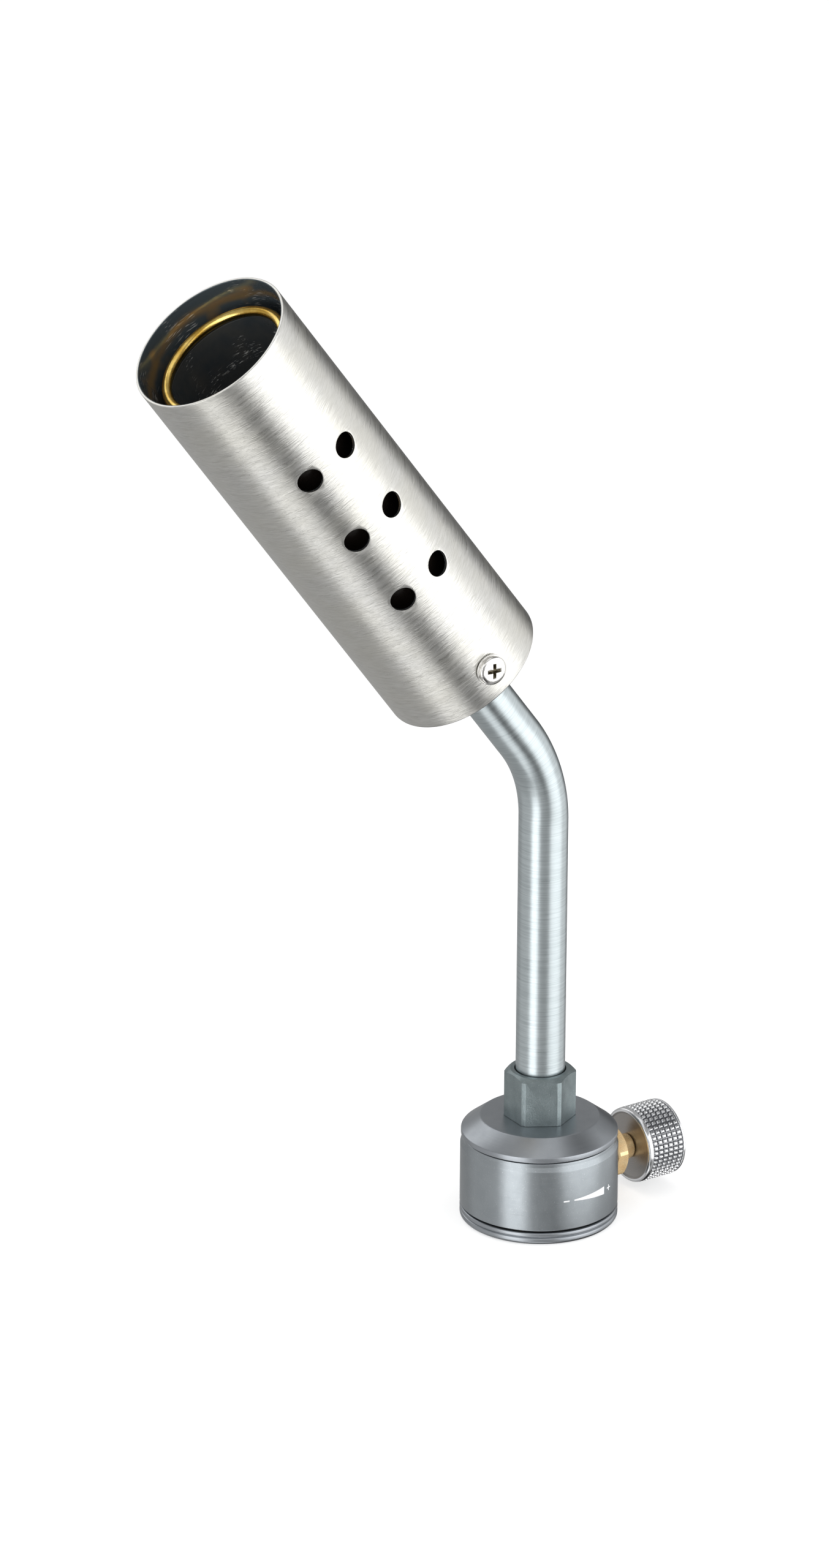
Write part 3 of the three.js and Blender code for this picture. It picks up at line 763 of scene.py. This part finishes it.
def makeMouthRing(size):
    wire = size["wire"]
    radius = boxSize("mouth_ring").y / 2 - wire
    height = station("mouth_ring")
    turns = [2 * math.pi * side / size["sides"] for side in range(size["sides"])]
    section = [(radius + wire * math.cos(turn), height + wire * math.sin(turn)) for turn in turns]
    ring = turnedMesh("mouthRing", section, size["segments"])
    settle(ring, burnerPlace, finishes["tinted_brass"], "mouth_ring", sharp=80)


def makeFlameHolder(size):
    radius = burnerTube["radius"] - burnerTube["wall"] - size["edgeGap"]
    middle = station("flame_holder")
    low, high = middle - size["thickness"] / 2, middle + size["thickness"] / 2
    section = [(0, low), (radius, low, size["edge"]), (radius, high, size["edge"]), (0, high)]
    holder = turnedMesh("flameHolder", section, 96)
    for ringRadius, holes in size["rings"]:
        grow(holder, axialTree, darkSteel, Hole_Radius=size["holeRadius"], Ring_Radius=ringRadius,
             Holes=holes, Height=middle)
    settle(holder, burnerPlace, darkSteel, "flame_holder")


makeBurnerTube(burnerTube)
makeMouthRing(mouthRing)
makeFlameHolder(flameHolder)
print("burner made")


# the plug in the tube's lower end

burnerBase = {"radius": 15.6, "bore": 5.25, "low": 1.2, "high": 11.1, "bossRadius": 12.3, "bossHigh": 16.7,
              "skirtBore": 10.8, "holeRing": 8.2, "holes": 6, "holeRadius": 1.6, "drillHeight": 6.0,
              "drillDepth": 30.0}


def makeBurnerBase(size):
    low, high, top = size["low"], size["high"], size["bossHigh"]
    plug = turnedMesh("burnerBase", [
        (size["bore"], low, 0.2), (size["radius"], low, 0.6), (size["radius"], high, 0.3),
        (size["bossRadius"], high), (size["bossRadius"], top, 0.3), (size["skirtBore"], top, 0.2),
        (size["skirtBore"], high), (size["bore"], high)], 96)
    grow(plug, axialTree, finishes["brass"], Hole_Radius=size["holeRadius"], Ring_Radius=size["holeRing"],
         Holes=size["holes"], Height=size["drillHeight"], Depth=size["drillDepth"])
    settle(plug, burnerPlace, finishes["brass"], "burner_base")


makeBurnerBase(burnerBase)


# screws and washers on the flanks

sideScrew = {"headRadius": 2.95, "headHeight": 1.25, "shank": 1.2, "length": 7.0, "lift": 0.5, "height": 6.3,
             "slotWidth": 0.8, "slotSpan": 3.5, "slotDepth": 0.95, "floorSpan": 0.45, "floorWidth": 0.7}
sideWasher = {"bore": 1.7, "radius": 3.15, "thickness": 0.4, "lift": 0.1}


def makeSideScrews(size, washer):
    nickel = finishes["nickel_plate"]
    radius, high = size["headRadius"], size["headHeight"]
    screw = turnedMesh("flameTubeScrews", [
        (0, -size["length"]), (size["shank"], -size["length"]), (size["shank"], 0), (radius, 0, 0.12),
        (radius, high - 0.4, 0.3), (radius * 0.8, high - 0.1, 0.4), (0, high)], 64)
    half, span = size["slotWidth"] / 2, size["slotSpan"] / 2
    outline = [(-span, -half), (span, -half), (span, half), (-span, half)]
    for turn in (0, math.pi / 2):
        slot = prismMesh("slot", outline, high - size["slotDepth"], high + 0.1)
        for vertex in slot.data.vertices:
            if vertex.co.z < high:  # the recess narrows to its floor
                vertex.co.x *= size["floorSpan"]
                vertex.co.y *= size["floorWidth"]
        slot.data.transform(Matrix.Rotation(turn - lean, 4, "Z"))
        carve(screw, slot)
    soften(screw, 0.05, 2, 45)
    grow(screw, flankTree, nickel, Radius=tubeRadius + size["lift"], Height=size["height"])
    settle(screw, burnerPlace, nickel, "flame_tube_screw_1", "flame_tube_screw_2")
    bore, edge, thickness = washer["bore"], washer["radius"], washer["thickness"]
    ring = turnedMesh("screwWashers", [
        (bore, 0), (edge, 0, 0.12), (edge, thickness, 0.12), (bore, thickness)], 64)
    grow(ring, flankTree, nickel, Radius=tubeRadius + washer["lift"], Height=size["height"])
    settle(ring, burnerPlace, nickel, "screw_washer_1", "screw_washer_2")


makeSideScrews(sideScrew, sideWasher)
print("screws made")


# riser

riser = {"radius": 5.0, "bore": 3.6, "bottom": 13.2, "bendRadius": 31.0, "end": 45.0, "flatten": 0.035,
         "sides": 72, "lowSteps": 24, "bendSteps": 40, "highSteps": 12}


def riserRoute(size):  # (place, turn, length so far, share of the bend) along the riser
    bend, low, steps = size["bendRadius"], size["bottom"], size["bendSteps"]
    tangent = bend * math.tan(lean / 2)
    bendStart = axesCross - tangent
    straight = bendStart - low
    route = []
    for step in range(size["lowSteps"] + 1):
        height = low + straight * step / size["lowSteps"]
        route.append((Vector((0, 0, height)), 0.0, height - low, 0.0))
    arc = bend * lean
    for step in range(1, steps + 1):
        turn = lean * step / steps
        spot = Vector((-bend * (1 - math.cos(turn)), 0, bendStart + bend * math.sin(turn)))
        route.append((spot, turn, straight + arc * step / steps, math.sin(math.pi * step / steps)))
    last = route[-1][0]
    onward = Vector((-math.sin(lean), 0, math.cos(lean)))
    for step in range(1, size["highSteps"] + 1):
        far = (size["end"] - tangent) * step / size["highSteps"]
        route.append((last + onward * far, lean, straight + arc + far, 0.0))
    return route


def makeRiser(size):
    shape = bmesh.new()
    uv = shape.loops.layers.uv.new("along")
    route = riserRoute(size)
    sides = size["sides"]
    walls = []
    for radius in (size["radius"], size["bore"]):
        rings = []
        for spot, turn, length, bend in route:
            ring = []
            for side in range(sides):
                angle = 2 * math.pi * side / sides
                wide = radius * (1 + size["flatten"] * bend)
                thin = radius * (1 - size["flatten"] * bend)  # the bend flattens the tube a little
                flat = Vector((thin * math.cos(angle), wide * math.sin(angle), 0))
                flat.rotate(Euler((0, -turn, 0)))
                ring.append(shape.verts.new(spot + flat))
            rings.append((ring, length))
        walls.append(rings)
    for wall, flip in zip(walls, (False, True)):
        for (low, lowLength), (high, highLength) in zip(wall, wall[1:]):
            for here in range(sides):
                after = (here + 1) % sides
                corners = [(low[here], here, lowLength), (low[after], here + 1, lowLength),
                           (high[after], here + 1, highLength), (high[here], here, highLength)]
                if flip:
                    corners.reverse()
                face = shape.faces.new([corner[0] for corner in corners])
                for loop, (_, side, length) in zip(face.loops, corners):
                    loop[uv].uv = (side / sides, length * mm)
    for end, flip in ((0, True), (-1, False)):
        outer, inner = walls[0][end][0], walls[1][end][0]
        for here in range(sides):
            after = (here + 1) % sides
            corners = [outer[here], outer[after], inner[after], inner[here]]
            shape.faces.new(reversed(corners) if flip else corners)
    settle(objectOf("riser", shape), upright, finishes["satin_aluminium"], "riser_tube")


makeRiser(riser)
print("riser made")


# valve body

topCap = {"bottom": 17.85, "radius": 15.87, "shoulder": 18.9, "top": 21.8, "flat": 12.0, "bore": 5.3}
bodySleeve = {"bottom": 2.95, "top": 17.55, "radius": 16.0, "neck": 15.55, "neckStart": 1.75,
              "neckFull": 0.75, "bore": 12.6, "window": 4.2, "windowStart": 10, "windowEnd": 20}
baseRing = {"top": 2.56, "radius": 16.0, "foot": 0.45, "groove": 1.46, "grooveHalf": 0.18, "grooveDepth": 0.3,
            "shoulder": 2.4, "bore": 9.6}
hexNut = {"flats": 13.0, "corner": 7.25, "bottom": 21.85, "top": 32.0, "chamfer": 0.75, "bore": 5.25,
          "bevel": 0.07}


def makeTopCap(size):
    bore, radius, low, high = size["bore"], size["radius"], size["bottom"], size["top"]
    cap = turnedMesh("topCap", [
        (bore, low), (radius, low, 0.12), (radius, size["shoulder"], 0.18), (size["flat"], high, 0.25),
        (bore, high, 0.1)], 192)
    settle(cap, upright, finishes["anodised_grey"], "top_cap")


def makeBodySleeve(size):
    low, top, radius, neck = size["bottom"], size["top"], size["radius"], size["neck"]
    sleeve = turnedMesh("bodySleeve", [
        (size["bore"], low), (radius, low, 0.2), (radius, top - size["neckStart"], 0.12),
        (neck, top - size["neckFull"], 0.1), (neck, top, 0.22), (size["bore"], top)], 192)
    window = rod(size["window"], size["windowStart"], size["windowEnd"], 48)
    window.data.transform(Matrix.Scale(1 / mm, 4) @ valvePlace @ Matrix.Scale(mm, 4))
    carve(sleeve, window)
    settle(sleeve, upright, sleeveFinish, "body_sleeve")


def makeBaseRing(size):
    bore, radius, top, foot = size["bore"], size["radius"], size["top"], size["foot"]
    groove, half, inner = size["groove"], size["grooveHalf"], radius - size["grooveDepth"]
    ring = turnedMesh("baseRing", [
        (bore, 0, 0.1), (radius - foot, 0, 0.1), (radius, foot, 0.25), (radius, groove - half, 0.2),
        (inner, groove, 0.04), (radius, groove + half, 0.2), (radius, size["shoulder"], 0.2),
        (radius - 0.4, top, 0.08), (bore, top)], 192)
    settle(ring, upright, finishes["anodised_grey"], "base_ring")


def makeHexNut(size):
    low, high, corner = size["bottom"], size["top"], size["corner"]
    nut = prismMesh("hexNut", hexCorners(size["flats"]), low, high)
    inner = size["flats"] / 2 - 0.25
    blank = turnedMesh("blank", [
        (0, low - 1), (corner, low - 1), (corner, high - size["chamfer"]), (inner, high - 0.12),
        (inner - 0.2, high), (0, high)], 192)
    carve(nut, blank, "INTERSECT")
    carve(nut, rod(size["bore"], low - 2, high + 2, 96))
    soften(nut, size["bevel"], 2, 20)
    settle(nut, upright, finishes["dark_anodised"], "hex_nut", sharp=30)


makeTopCap(topCap)
makeBodySleeve(bodySleeve)
makeBaseRing(baseRing)
makeHexNut(hexNut)
print("valve body made")


# inlet: threaded insert seen from below

threadInsert = {"root": 5.5, "radius": 9.2, "bottom": 0.5, "top": 6.9, "lead": 0.5, "pitch": 0.907,
                "ridge": 0.35, "ridgeStart": 0.7, "ridgeEnd": 0.6}


def makeThreadInsert(size):
    low, high, root = size["bottom"], size["top"], size["root"]
    insert = turnedMesh("threadInsert", [
        (root + size["lead"], low), (size["radius"], low, 0.2), (size["radius"], high), (root, high),
        (root, low + size["lead"])], 96)
    length = high - low - size["ridgeStart"] - size["ridgeEnd"]
    grow(insert, threadTree, finishes["brass"], Radius=root, Turns=length / size["pitch"], Length=length,
         Ridge=size["ridge"], Bottom=low + size["ridgeStart"])
    settle(insert, upright, finishes["brass"], "canister_thread_insert")


makeThreadInsert(threadInsert)
print("thread insert made")


# flow valve: packing nut, spindle and knob

packingNut = {"flats": 9.6, "corner": 5.35, "bottom": 16.35, "top": 19.3, "bore": 2.7, "boreStart": 10,
              "boreEnd": 30, "shank": 3.9, "shankStart": 13, "bevel": 0.06, "turn": math.radians(-13)}
spindle = {"tip": 1.6, "point": 0.3, "taper": [(0.7, 3.1), (1.5, 4.6)], "shaft": 1.9, "shaftStart": 5.2,
           "groove": 1.4, "grooveStart": 14.4, "neckStart": 15.8, "neck": 2.6, "neckEnd": 22.4, "stub": 2.0,
           "end": 29.0}
knob = {"inner": 22.2, "outer": 31.5, "core": 7.28, "lip": 7.85, "lipLength": 1.15, "endLip": 7.75,
        "endLipLength": 0.75, "face": 0.25, "grooveRadius": 5.3, "grooveDepth": 0.22, "bore": 2.3,
        "boreStart": 10, "boreEnd": 29.3, "grubRadius": 1.7, "grubPlace": 27, "columns": 6, "rows": 46,
        "studHeight": 0.6, "studShare": 0.89}
stud = {"steps": 4, "fullness": 3.6, "sink": 0.1}


def makePackingNut(size):
    low, high, corner = size["bottom"], size["top"], size["corner"]
    nut = prismMesh("packingNut", hexCorners(size["flats"]), low, high)
    nut.data.transform(Matrix.Rotation(size["turn"], 4, "Z"))
    blank = turnedMesh("blank", [
        (0, low - 1), (corner - 0.6, low - 0.3), (corner, low + 0.3), (corner, high - 0.7),
        (corner - 1.0, high), (0, high)], 128)
    carve(nut, blank, "INTERSECT")
    carve(nut, rod(size["shank"], size["shankStart"], low + 1), "UNION")
    carve(nut, rod(size["bore"], size["boreStart"], size["boreEnd"]))
    soften(nut, size["bevel"], 2, 20)
    settle(nut, valvePlace, paleBrass, "packing_nut", sharp=30)


def makeSpindle(size):
    shaft, groove, neck, stub = size["shaft"], size["groove"], size["neck"], size["stub"]
    piece = turnedMesh("needleSpindle", [
        (0, size["tip"]), (size["point"], size["tip"]), *size["taper"], (shaft, size["shaftStart"]),
        (shaft, size["grooveStart"]), (groove, size["grooveStart"]), (groove, size["neckStart"]),
        (neck, size["neckStart"]), (neck, size["neckEnd"], 0.5), (stub, size["neckEnd"]), (stub, size["end"]),
        (0, size["end"])], 64)
    settle(piece, valvePlace, paleBrass, "needle_spindle")


def knurlStud(length, width, height, form):  # a closed four-sided pillow, lying on its back
    shape = bmesh.new()
    steps = form["steps"]
    grid = []
    for i in range(steps + 1):
        line = []
        for j in range(steps + 1):
            u, v = 2 * i / steps - 1, 2 * j / steps - 1
            rise = (1 - abs(u) ** form["fullness"]) * (1 - abs(v) ** form["fullness"])
            line.append(shape.verts.new((u * length / 2, v * width / 2, rise * height)))
        grid.append(line)
    for i in range(steps):
        for j in range(steps):
            shape.faces.new((grid[i][j], grid[i + 1][j], grid[i + 1][j + 1], grid[i][j + 1]))
    edge = grid[0][:-1] + [line[-1] for line in grid[:-1]]
    edge += grid[-1][:0:-1] + [line[0] for line in grid[:0:-1]]
    foot = [shape.verts.new((vertex.co.x, vertex.co.y, -form["sink"])) for vertex in edge]
    for here in range(len(edge)):
        after = (here + 1) % len(edge)
        shape.faces.new((edge[here], edge[after], foot[after], foot[here]))
    shape.faces.new(foot)
    bmesh.ops.recalc_face_normals(shape, faces=shape.faces)
    return objectOf("stud", shape)


def makeKnob(size, form):
    inner, outer, core, lip, endLip = (size[key] for key in ("inner", "outer", "core", "lip", "endLip"))
    face = inner + size["face"]
    low, high = inner + size["lipLength"], outer - size["endLipLength"]
    groove, deep = size["grooveRadius"], outer - size["grooveDepth"]
    body = turnedMesh("flowKnob", [
        (0, face), (lip - 1.1, face, 0.15), (lip - 0.75, inner, 0.15), (lip - 0.15, inner + 0.1, 0.3),
        (lip, low - 0.1, 0.2), (core, low, 0.1), (core, high, 0.1), (endLip, high + 0.05, 0.1),
        (endLip, outer - 0.3, 0.15), (endLip - 0.45, outer, 0.2), (groove + 0.4, outer, 0.06),
        (groove + 0.15, deep, 0.06), (groove - 0.15, deep, 0.06), (groove - 0.4, outer, 0.06),
        (0, outer)], 192)
    carve(body, rod(size["bore"], size["boreStart"], size["boreEnd"]))
    grub = rod(size["grubRadius"], 0, 12, 32)
    grub.data.transform(Matrix.Translation((0, 0, size["grubPlace"])) @ Matrix.Rotation(-math.pi / 2, 4, "X"))
    carve(body, grub)
    pitch = (high - low) / size["columns"]
    width = 2 * math.pi * core / size["rows"]
    share = size["studShare"]
    pillow = knurlStud(pitch * share, width * share, size["studHeight"], form)
    grow(body, studTree, knobFinish, Stud=pillow, Radius=core, Start=low + pitch / 2, Column_Pitch=pitch,
         Columns=size["columns"], Rows=size["rows"])
    bpy.data.objects.remove(pillow)
    settle(body, valvePlace, knobFinish, "knob", sharp=50)


makePackingNut(packingNut)
makeSpindle(spindle)
makeKnob(knob, stud)
print("flow valve made")


# floor, light and camera

studio = {"floor": (0.86, 0.86, 0.86), "floorGlow": 0.5, "floorSize": 8.0, "floorGap": 0.0002, "world": 0.42,
          "lampDistance": 1.2, "lampTarget": (-0.03, 0, 0.1)}
lamps = {  # degrees right of the camera, height, width and tall, then brightness
    "leftBox": (-36, -2, 36, 80, 1.8),
    "rightBox": (64, 2, 62, 64, 1.6),
    "sideBox": (114, 2, 38, 60, 0.6),
    "leftFill": (-92, -12, 50, 60, 0.2),
    "underBox": (2, -64, 34, 20, 1.2),
    "frontBox": (5, 32, 40, 20, 0.9),
    "topBox": (0, 84, 45, 45, 0.6),
    "backBox": (-132, 34, 26, 50, 1.0),
}
darkCards = {  # degrees right of the camera, height, half width, darkness
    "front": (34, -45, 15, 0.85),
    "edge": (158, -8, 16, 0.85),
    "below": (140, -58, 28, 0.95),
    "upper": (98, 54, 13, 0.7),
}
shot = {"aim": (-0.03052, 0, 0.1), "distance": 2.0494, "azimuth": -32.38, "elevation": 21.95, "roll": 0.44,
        "lens": 238.02}


def heading(side, height):  # a direction given from the camera's side of the object
    turn, rise = math.radians(shot["azimuth"] + side), math.radians(height)
    return Vector((math.sin(turn) * math.cos(rise), -math.cos(turn) * math.cos(rise), math.sin(rise)))


def makeFloor(size):
    half = size["floorSize"] / 2
    floor = prismMesh("floor", [(-half, -half), (half, -half), (half, half), (-half, half)], -0.01, 0.0)
    floor.data.transform(Matrix.Translation((0, 0, cadBounds[0][2] - size["floorGap"])))
    paint = Finish("paleFloor", size["floor"], metallic=0.0, roughness=0.7,
                   Emission_Color=(1, 1, 1, 1), Emission_Strength=size["floorGlow"])
    grain = paint.noise(paint.place(upright), 0.02, 3)
    shade = tuple(value * 0.98 for value in size["floor"])
    floor.data.materials.append(paint.feed(Base_Color=paint.blend(grain, size["floor"], shade)))
    floor.visible_glossy = False  # polished metal sees the light boxes all the way down
    floor.visible_shadow = False


def makeWorld(size, cards):
    world = bpy.data.worlds.new("studio")
    bpy.context.scene.world = world
    world.use_nodes = True
    sheet = Sheet(world.node_tree)
    toward = sheet.node("ShaderNodeTexCoord", None, None, "Generated")
    level = sheet.node("ShaderNodeMath", {"operation": "ADD"}, {0: size["world"], 1: 0.0})
    for side, height, spread, dark in cards.values():
        along = sheet.node("ShaderNodeVectorMath", {"operation": "DOT_PRODUCT"}, {
            0: toward, 1: heading(side, height)}, "Value")
        edge = math.cos(math.radians(spread))
        level = level * (1 - dark * (1 - along.below(edge, (1 - edge) * 0.8)))
    sheet.connect(level, world.node_tree.nodes["Background"].inputs["Strength"])
    world.node_tree.nodes["Background"].inputs["Color"].default_value = (1, 1, 1, 1)


def makeLamps(boxes, distance, target):
    for name, (side, height, wide, tall, glow) in boxes.items():
        lamp = bpy.data.lights.new(name, "AREA")
        lamp.shape = "RECTANGLE"
        lamp.size = 2 * distance * math.tan(math.radians(wide / 2))
        lamp.size_y = 2 * distance * math.tan(math.radians(tall / 2))
        lamp.energy = glow * math.pi * lamp.size * lamp.size_y
        away = heading(side, height)
        holder = bpy.data.objects.new(name, lamp)
        holder.location = Vector(target) + away * distance
        holder.rotation_euler = away.to_track_quat("Z", "Y").to_euler()
        holder.visible_camera = False
        bpy.context.scene.collection.objects.link(holder)


def makeCamera(view):
    turn, rise = math.radians(view["azimuth"]), math.radians(view["elevation"])
    camera = bpy.data.objects.new("camera", bpy.data.cameras.new("camera"))
    camera.data.sensor_width = 36
    camera.data.lens = view["lens"]
    roll = Matrix.Rotation(math.radians(view["roll"]), 3, "Z")
    facing = Euler((math.pi / 2 - rise, 0, turn)).to_matrix() @ roll
    spot = Vector(view["aim"]) + heading(0, view["elevation"]) * view["distance"]
    camera.matrix_world = Matrix.Translation(spot) @ facing.to_4x4()
    bpy.context.scene.collection.objects.link(camera)
    bpy.context.scene.camera = camera


makeFloor(studio)
makeWorld(studio, darkCards)
makeLamps(lamps, studio["lampDistance"], studio["lampTarget"])
makeCamera(shot)
bpy.context.scene.view_settings.view_transform = "Standard"
print("studio set")
